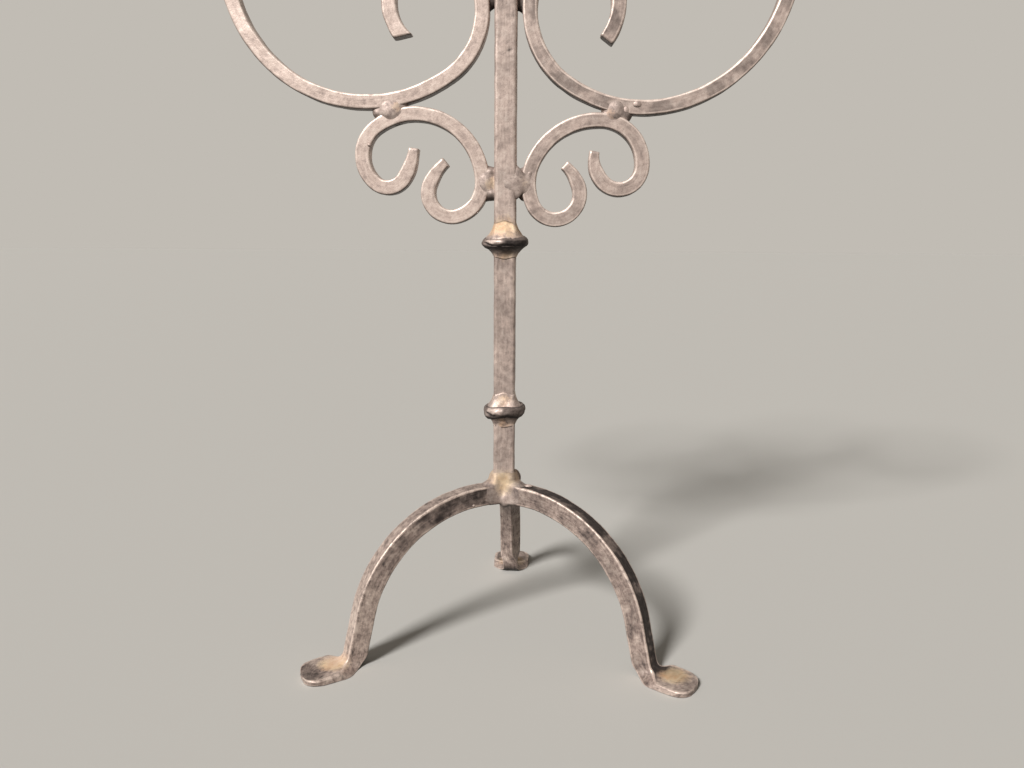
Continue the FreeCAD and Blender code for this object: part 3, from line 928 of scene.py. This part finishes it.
# Candle holders: drip pans, cups and rivets. A finish is how lumpy and how worn a place is

PAN_WALL = 1.2 * MM
PAN_BEND_RADIUS = 3.0 * MM
PAN_FLARE_DEGREES = 36.9
PAN_RIM_INSET = 0.7 * PAN_WALL
PAN_RIM_TIP = 0.6 * PAN_WALL
PAN_RIM_SWELL = 0.35 * MM
RIM_SWELL_RINGS = 2.5
RIM_RUBBED_RINGS = 1.5
PAN_PITS = 0.05 * MM
PAN_DENTS = 0.28 * MM
PAN_DENT_CELL = 8.0 * MM
PAN_STEPS = 128
CUP_WALL = 1.5 * MM
CUP_FLOOR = 3.0 * MM
CUP_FLOOR_BEVEL = 0.3 * MM
CUP_FOOT_INSET = 0.6 * MM
CUP_EDGE = 0.5 * MM
CUP_LIP = 0.5 * MM
CUP_LIP_START = 0.86
CUP_LIP_DROP = 1.2 * MM
CUP_RIM_INSET = 0.4 * CUP_WALL
CUP_MOUTH_FLARE = 0.2 * MM
CUP_DENTS = 0.16 * MM
CUP_STEPS = 120
CUP_RING_SPACING = 2.0 * MM
FOOT_FINISH = (0.3, -0.5)
CUP_HEEL_FINISH = (1.0, -0.5)
CUP_RIM_FINISH = (0.4, 1.0)
CUP_MOUTH_FINISH = (0.2, 0.6)
CUP_CORNER_FINISH = (0.1, -0.9)
CUP_FLOOR_FINISH = (0.0, -0.6)
CUP_BORE_DENTS = 0.2
CUP_BORE_GRIME = 0.7
SEAM_DEGREES = 118.0
SEAM_WIDTH_DEGREES = 20.0
SEAM_EASE_DEGREES = 3.0
SEAM_STEP = 0.45 * MM
RIVET_RADIUS = 1.8 * MM
RIVET_FIT = 0.98
RIVET_HEAD_HEIGHT = 1.5 * MM
RIVET_HEAD_EDGE = 1.0 * MM
RIVET_HEAD_FIT = 0.99
RIVET_DOME_START = 1.3 * MM
RIVET_DOME = 0.6 * MM
RIVET_DOME_FIT = 0.96
RIVET_DOME_STEPS = 6
RIVET_LUMPS = 0.12 * MM
RIVET_STEPS = 48
RIVET_DOME_FINISH = (0.6, 0.3)


def seat(node):
    """Middle of a node's underside."""
    centre = middle(node)
    return Vector((centre.x, centre.y, box(node)[0].z))


def pan_profile(rim, depth):
    """Closed outline of a pressed dish: a floor, a bend and a flared side with a thickened rim."""
    turn = math.radians(PAN_FLARE_DEGREES)
    flare = depth / math.sin(turn)
    floor = rim - flare * math.cos(turn) - RIVET_RADIUS
    bend = PAN_BEND_RADIUS * math.tan(turn / 2)
    runs = [(floor - bend, 0.0), (PAN_BEND_RADIUS, turn), (flare - bend - PAN_RIM_INSET, 0.0)]
    line = trace((RIVET_RADIUS, PAN_WALL / 2), 0.0, runs)
    outer = []
    inner = []
    for index, (radius, height, heading) in enumerate(line):
        to_rim = len(line) - 1 - index
        half = PAN_WALL / 2 + PAN_RIM_SWELL * smooth_step(1 - to_rim / RIM_SWELL_RINGS)
        normal = (-math.sin(heading), math.cos(heading))
        rubbed = smooth_step(1 - to_rim / RIM_RUBBED_RINGS)
        outer.append((radius - normal[0] * half, height - normal[1] * half, 1.0, rubbed))
        inner.append((radius + normal[0] * half, height + normal[1] * half, 1.0, rubbed))
    radius, height, heading = line[-1]
    forward = direction(heading)
    tip = (radius + forward[0] * PAN_RIM_TIP, height + forward[1] * PAN_RIM_TIP, 1.0, 1.0)
    return outer + [tip] + inner[::-1]


def make_pan(side):
    node = "drip_pan_" + side
    seed = seed_of(node)
    profile = pan_profile(extent(node).x / 2, extent(node).z)
    below = seat(node) - UP * extent(node).x

    def dented(place, wear_and_shading):
        out = (place - below).normalized()
        height = noise.noise((place + seed) / PAN_DENT_CELL) * PAN_DENTS
        return place + out * height, wear_and_shading

    rings = revolve(lambda angle: profile, seat(node), seed, PAN_PITS, PAN_STEPS)
    dress_rings(node, moved(rings, dented), "pan_and_cup", loop=True)


def cup_profile(radius, height, angle):
    """Closed outline of a rolled tube with a floor, a lapped seam at the back and a slightly turned lip."""
    bore = radius - CUP_WALL
    off_seam = abs(off_bearing(angle, SEAM_DEGREES))
    lap = SEAM_STEP * smooth_step((SEAM_WIDTH_DEGREES - off_seam) / SEAM_EASE_DEGREES)
    points = [(RIVET_RADIUS, 0.0, 0.0, 0.0), (radius - CUP_FOOT_INSET, 0.0, *FOOT_FINISH),
              (radius + lap, CUP_EDGE, *CUP_HEEL_FINISH)]
    steps = shares(round(height / CUP_RING_SPACING))
    for share in steps:
        turned = CUP_LIP * smooth_step((share - CUP_LIP_START) / (1 - CUP_LIP_START))
        points.append((radius + lap + turned, CUP_EDGE + (height - CUP_LIP_DROP) * share, 1.0, 0.0))
    points += [(radius - CUP_RIM_INSET + CUP_LIP, height, *CUP_RIM_FINISH),
               (bore + CUP_MOUTH_FLARE, height - CUP_EDGE, *CUP_MOUTH_FINISH)]
    for share in steps[:-1]:
        level = CUP_FLOOR + (height - CUP_FLOOR - CUP_EDGE) * (1 - share)
        points.append((bore, level, CUP_BORE_DENTS, -CUP_BORE_GRIME * share))
    return points + [(bore - CUP_FLOOR_BEVEL, CUP_FLOOR, *CUP_CORNER_FINISH),
                     (RIVET_RADIUS, CUP_FLOOR, *CUP_FLOOR_FINISH)]


def make_cup(side):
    node = "candle_cup_" + side
    profile = functools.partial(cup_profile, extent(node).x / 2, extent(node).z)
    dress_round(node, profile, seat(node), CUP_DENTS, "pan_and_cup", CUP_STEPS)


def rivet_profile(head, height):
    """Closed outline of a rivet: a straight shank and a low domed head."""
    shank = RIVET_RADIUS * RIVET_FIT
    edge = head * RIVET_HEAD_FIT
    shoulder = height - RIVET_HEAD_HEIGHT
    points = [(0.0, 0.0, 0.0, 0.0), (shank, 0.0, 0.0, 0.0), (shank, shoulder, 0.0, 0.0),
              (edge, shoulder, 0.0, 0.0), (edge, shoulder + RIVET_HEAD_EDGE, *FOOT_FINISH)]
    for share in [0.0] + shares(RIVET_DOME_STEPS):
        across, up = direction(math.pi / 2 * share)
        level = shoulder + RIVET_DOME_START + RIVET_DOME * up
        points.append((head * RIVET_DOME_FIT * across, level, *RIVET_DOME_FINISH))
    return points


def make_rivet(side):
    node = "cup_rivet_" + side
    profile = rivet_profile(extent(node).x / 2, extent(node).z)
    dress_round(node, lambda angle: profile, seat(node), RIVET_LUMPS, "pan_and_cup", RIVET_STEPS)


# Materials

def srgb(*screen):
    """Linear colour of an 8-bit screen colour."""
    return (*Color([value / 255 for value in screen]).from_srgb_to_scene_linear(), 1.0)


def add_node(tree, kind, inputs=None, **settings):
    """A shader node with its settings and inputs; an input that is a socket is linked."""
    made = tree.nodes.new("ShaderNode" + kind)
    for key, value in settings.items():
        setattr(made, key, value)
    for key, value in (inputs or {}).items():
        if isinstance(value, bpy.types.NodeSocket):
            tree.links.new(value, made.inputs[key])
        else:
            made.inputs[key].default_value = value
    return made


def noise_value(tree, vector, *settings):
    inputs = dict(zip(("Scale", "Detail", "Roughness", "Distortion"), settings))
    return add_node(tree, "TexNoise", {"Vector": vector, **inputs}).outputs["Fac"]


def remap(tree, value, *ends):
    """A value mapped from one range to another, which is 0 to 1 unless given."""
    inputs = dict(zip(("From Min", "From Max", "To Min", "To Max"), ends))
    return add_node(tree, "MapRange", {"Value": value, **inputs}).outputs["Result"]


def combine(tree, operation, first, second):
    return add_node(tree, "Math", {0: first, 1: second}, operation=operation).outputs["Value"]


def blend(tree, values, weights):
    """Sum of values, each times its weight."""
    parts = [combine(tree, "MULTIPLY", value, weight) for value, weight in zip(values, weights)]
    return functools.reduce(lambda total, part: combine(tree, "ADD", total, part), parts)


def mix_colour(tree, share, first, second):
    return add_node(tree, "Mix", {0: share, 6: first, 7: second}, data_type="RGBA").outputs[2]


def colour_ramp(tree, value, stops):
    made = add_node(tree, "ValToRGB", {"Fac": value})
    elements = made.color_ramp.elements
    while len(elements) < len(stops):
        elements.new(0.5)
    for element, (position, colour) in zip(elements, stops):
        element.position = position
        element.color = colour
    return made.outputs["Color"]


def attribute(tree, name, output):
    return add_node(tree, "Attribute", attribute_name=name).outputs[output]


TAN_DUST = srgb(236, 187, 140)
CREAM_DUST = srgb(251, 224, 184)
# Soot colour, also used for painted shade on undersides and shaded faces
SOOT_AND_SHADE = srgb(27, 20, 20)
IRON_METALLIC = 0.4
RELIEF_DEPTH = 0.35 * MM

# Noises, as scale, detail, roughness and distortion
MOTTLE = (400.0, 8.0, 0.72, 0.3)
PATCHES = (75.0, 5.0, 0.6, 0.8)
STREAKS = (1.0, 4.0, 0.6, 0.0)
SPECKS = (1300.0, 2.0, 0.5, 0.0)
STREAK_STRETCH = (1100.0, 90.0, 1.0)

# Shares of mottle, streaks and patches in the tone, and of mottle, specks and streaks in the relief
TONE_SHARES = (0.5, 0.27, 0.23)
RELIEF_SHARES = (1.0, 0.35, 0.3)

# Ranges that values are mapped from, then the ranges they are mapped to where these are not 0 to 1
PIT_RANGE = (0.36, 0.28, 0.0, 0.6)
DUST_RANGE = (0.52, 0.78)
DUST_MOTTLE = 0.55
DUST_COVER = 0.85
CREAM_RANGE = (0.4, 0.62)
WORN_RANGE = (0.38, 0.58, 0.1, 0.85)
WORN_FACING_RANGE = (-0.35, 0.1)
# The underside range darkens faces that look down as painted shade; the grime range darkens by grime and
# painted shade
UNDERSIDE_SHADE_RANGE = (-0.15, -0.75, 0.0, 0.88)
GRIME_AND_SHADE_RANGE = (0.0, -1.0, 0.0, 0.92)
GLOSS_RANGE = (0.36, 0.62)
DULLER = 0.14
GLOSSIER = 0.06
DUST_ROUGHNESS = 0.2
GRIME_ROUGHNESS_RANGE = (0.0, -1.0, 0.0, 0.25)


def aged_and_shaded(tree, colour, light, wear_and_shading, mottle):
    """The colour rubbed bright where the wear value is above 0, which is corner wear and painted light,
    though not on faces that look down; darkened as painted shade on faces that look down; and darkened where
    the wear value is below 0, which is grime and painted shade.
    """
    normal = add_node(tree, "NewGeometry").outputs["Normal"]
    facing = add_node(tree, "SeparateXYZ", {"Vector": normal}).outputs["Z"]
    # Lightening towards the light colour: corner wear and painted light, kept off faces that look down
    worn = combine(tree, "MULTIPLY", remap(tree, wear_and_shading, 0.0, 1.0), remap(tree, mottle, *WORN_RANGE))
    worn = combine(tree, "MULTIPLY", worn, remap(tree, facing, *WORN_FACING_RANGE))
    colour = mix_colour(tree, worn, colour, light)
    # Painted shade: faces that look down are darkened towards the soot colour
    colour = mix_colour(tree, remap(tree, facing, *UNDERSIDE_SHADE_RANGE), colour, SOOT_AND_SHADE)
    # Darkening by grime and painted shade where the wear value is below 0
    return mix_colour(tree, remap(tree, wear_and_shading, *GRIME_AND_SHADE_RANGE), colour, SOOT_AND_SHADE)


def weathered_iron(name, dark, base, light, spread, dust, gloss, coarseness):
    """Old iron: mottled patina drawn out along the bar, pits, dust about the joints, wear and soot, with
    painted light and shade carried by the wear value and painted shade on faces that look down.
    """
    dark, base, light = (srgb(*colour) for colour in (dark, base, light))
    material = bpy.data.materials.new("weathered_iron_" + name)
    material.use_nodes = True
    tree = material.node_tree
    tree.nodes.clear()
    place = add_node(tree, "TexCoord").outputs["Object"]
    drawn = add_node(tree, "VectorMath", {
        0: attribute(tree, "bar", "Vector"), 1: STREAK_STRETCH}, operation="MULTIPLY").outputs["Vector"]
    mottle = noise_value(tree, place, *MOTTLE)
    patches = noise_value(tree, place, *PATCHES)
    streaks = noise_value(tree, drawn, *STREAKS)
    specks = noise_value(tree, place, *SPECKS)
    wear_and_shading = attribute(tree, "wear_and_shading", "Fac")
    tone = blend(tree, (mottle, streaks, patches), TONE_SHARES)
    colour = colour_ramp(tree, tone, ((0.5 - spread, dark), (0.5, base), (0.5 + spread, light)))
    colour = mix_colour(tree, remap(tree, specks, *PIT_RANGE), colour, dark)
    near = blend(tree, (attribute(tree, "dust", "Fac"), mottle), (dust, DUST_MOTTLE))
    cover = remap(tree, near, *DUST_RANGE)
    dust_colour = mix_colour(tree, remap(tree, patches, *CREAM_RANGE), TAN_DUST, CREAM_DUST)
    colour = mix_colour(tree, combine(tree, "MULTIPLY", cover, DUST_COVER), colour, dust_colour)
    colour = aged_and_shaded(tree, colour, light, wear_and_shading, mottle)
    rough = remap(tree, tone, *GLOSS_RANGE, gloss + DULLER, gloss - GLOSSIER)
    rough = blend(tree, (rough, cover, remap(tree, wear_and_shading, *GRIME_ROUGHNESS_RANGE)), (1.0, DUST_ROUGHNESS, 1.0))
    relief = blend(tree, (mottle, specks, streaks), RELIEF_SHARES)
    bump = add_node(tree, "Bump", {
        "Strength": coarseness, "Distance": RELIEF_DEPTH, "Height": relief}).outputs["Normal"]
    shader = add_node(tree, "BsdfPrincipled", {
        "Base Color": colour, "Metallic": IRON_METALLIC, "Roughness": rough, "Normal": bump})
    add_node(tree, "OutputMaterial", {"Surface": shader.outputs["BSDF"]})
    return material


def bar_iron():
    return weathered_iron("bar", (152, 135, 127), (207, 185, 173), (243, 223, 210),
                          spread=0.13, dust=0.62, gloss=0.41, coarseness=0.25)


def leg_iron():
    return weathered_iron("leg", (84, 74, 71), (186, 164, 153), (240, 219, 204),
                          spread=0.12, dust=0.85, gloss=0.4, coarseness=0.4)


def weld_iron():
    return weathered_iron("weld", (122, 107, 101), (196, 175, 164), (243, 223, 210),
                          spread=0.13, dust=0.8, gloss=0.47, coarseness=0.4)


def sheet_iron():
    return weathered_iron("sheet", (102, 92, 90), (166, 150, 144), (214, 198, 190),
                          spread=0.13, dust=0.3, gloss=0.46, coarseness=0.45)


materials = {
    "iron_bar": bar_iron(), "forged_leg": leg_iron(), "weld_bead": weld_iron(), "pan_and_cup": sheet_iron()}


# Stage: floor, light and camera. The key light's turn is from shining straight down

FLOOR_SIZE = 30.0
FLOOR_ROUGHNESS = 0.85
FLOOR_COLOUR = srgb(206, 202, 195)
FLOOR_BOUNCE_COLOUR = srgb(100, 97, 92)
BACKGROUND_COLOUR = srgb(193, 188, 180)
AMBIENT_LEFT = 0.5
AMBIENT_RIGHT = 0.07
KEY_TURN_DEGREES = (53.0, 0.0, 328.0)
KEY_SOFTNESS_DEGREES = 14.0
KEY_STRENGTH = 3.5


def seen_directly(tree):
    """1 for what the camera or a reflection sees, 0 for light that spreads."""
    path = add_node(tree, "LightPath")
    mirrored = combine(tree, "MAXIMUM", path.outputs["Is Glossy Ray"], path.outputs["Is Transmission Ray"])
    return combine(tree, "MAXIMUM", path.outputs["Is Camera Ray"], mirrored)


def make_floor():
    half = FLOOR_SIZE / 2
    corners = [(-half, -half, 0.0), (half, -half, 0.0), (half, half, 0.0), (-half, half, 0.0)]
    mesh = bpy.data.meshes.new("floor_mesh")
    mesh.from_pydata(corners, [], [(0, 1, 2, 3)])
    floor = add_object("floor", mesh)
    material = bpy.data.materials.new("pale_floor")
    material.use_nodes = True
    tree = material.node_tree
    shader = tree.nodes["Principled BSDF"]
    shader.inputs["Roughness"].default_value = FLOOR_ROUGHNESS
    colour = mix_colour(tree, seen_directly(tree), FLOOR_BOUNCE_COLOUR, FLOOR_COLOUR)
    tree.links.new(colour, shader.inputs["Base Color"])
    mesh.materials.append(material)


def make_world():
    """Soft light from all round, stronger from the left, seen directly and mirrored as a pale backdrop."""
    world = bpy.data.worlds.new("studio")
    bpy.context.scene.world = world
    world.use_nodes = True
    tree = world.node_tree
    tree.nodes.clear()
    way = add_node(tree, "TexCoord").outputs["Generated"]
    across = add_node(tree, "SeparateXYZ", {"Vector": way}).outputs["X"]
    ambient = remap(tree, across, -1.0, 1.0, AMBIENT_LEFT, AMBIENT_RIGHT)
    strength = remap(tree, seen_directly(tree), 0.0, 1.0, ambient, 1.0)
    background = add_node(tree, "Background", {"Color": BACKGROUND_COLOUR, "Strength": strength})
    add_node(tree, "OutputWorld", {"Surface": background.outputs["Background"]})


def add_key_light():
    """One broad soft light from the front left."""
    light = bpy.data.lights.new("key", "SUN")
    light.energy = KEY_STRENGTH
    light.angle = math.radians(KEY_SOFTNESS_DEGREES)
    lamp = add_object("key", light)
    lamp.rotation_euler = [math.radians(degrees) for degrees in KEY_TURN_DEGREES]


def add_camera():
    camera = bpy.data.cameras.new("camera")
    camera.sensor_width = CAMERA_SENSOR
    camera.lens = CAMERA_LENS
    camera.clip_start = CAMERA_NEAR
    place = Matrix.Translation(CAMERA_PLACE)
    for degrees, axis in CAMERA_TURNS:
        place = place @ Matrix.Rotation(math.radians(degrees), 4, axis)
    holder = add_object("camera", camera)
    holder.matrix_world = place
    bpy.context.scene.camera = holder


# Assembly

def build():
    make_bar("stem", stem_stations(), "iron_bar", pitted)
    for side in SIDE_DEGREES:
        make_bar("scroll_" + side, scroll_stations(side), "iron_bar")
        make_bar("arm_" + side, arm_stations(side), "iron_bar")
    for name in LEG_DEGREES:
        make_bar("leg_" + name, leg_stations(name), "forged_leg")
    make_hub()
    make_knop_set("lower_knop")
    make_knop_set("upper_knop")
    make_welds()
    for side in ("left", "centre", "right"):
        make_pan(side)
        make_cup(side)
        make_rivet(side)


build()
make_floor()
make_world()
add_key_light()
add_camera()
bpy.context.scene.view_settings.view_transform = "Standard"
